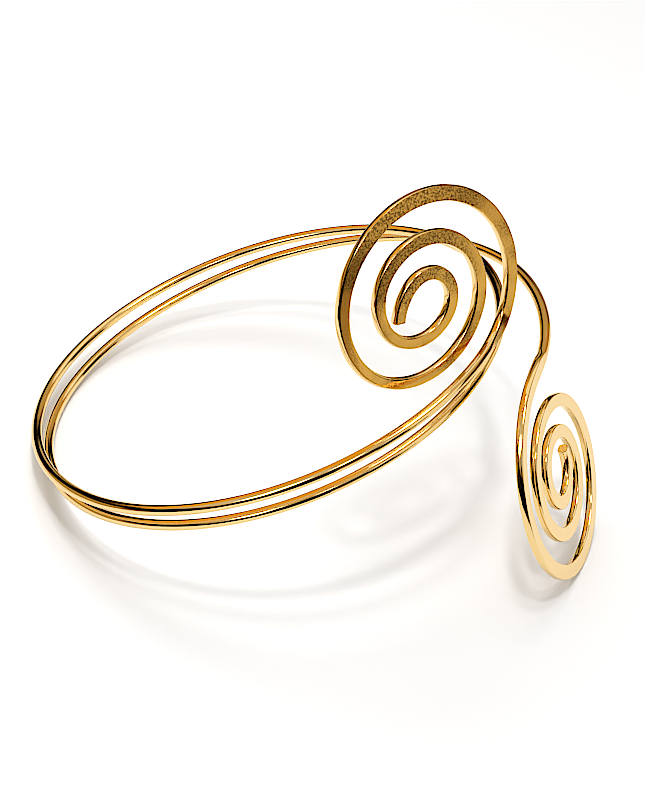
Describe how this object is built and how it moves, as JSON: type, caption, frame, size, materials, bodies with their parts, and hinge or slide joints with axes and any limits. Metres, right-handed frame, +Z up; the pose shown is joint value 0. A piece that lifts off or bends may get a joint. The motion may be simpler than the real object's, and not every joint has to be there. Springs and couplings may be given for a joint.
{
  "type": "upper arm cuff",
  "caption": "Springy gold-tone wire upper arm cuff: a coiled band, open for the arm, whose pressed ends curl into flat spirals that stand above it and hang below it.",
  "frame": {"origin": "middle of the bounding box, on the floor that the cuff lies on", "axes": "+Z up from the floor; -Y the front, the side that both spirals face; +X to the right as seen from the front"},
  "size_m": [0.0948, 0.108, 0.0743],
  "materials": {
    "gold_brass": "polished gold plate over brass wire"
  },
  "bodies": {
    "root": {"spiral_armlet": "gold_brass"}
  },
  "joints": []
}
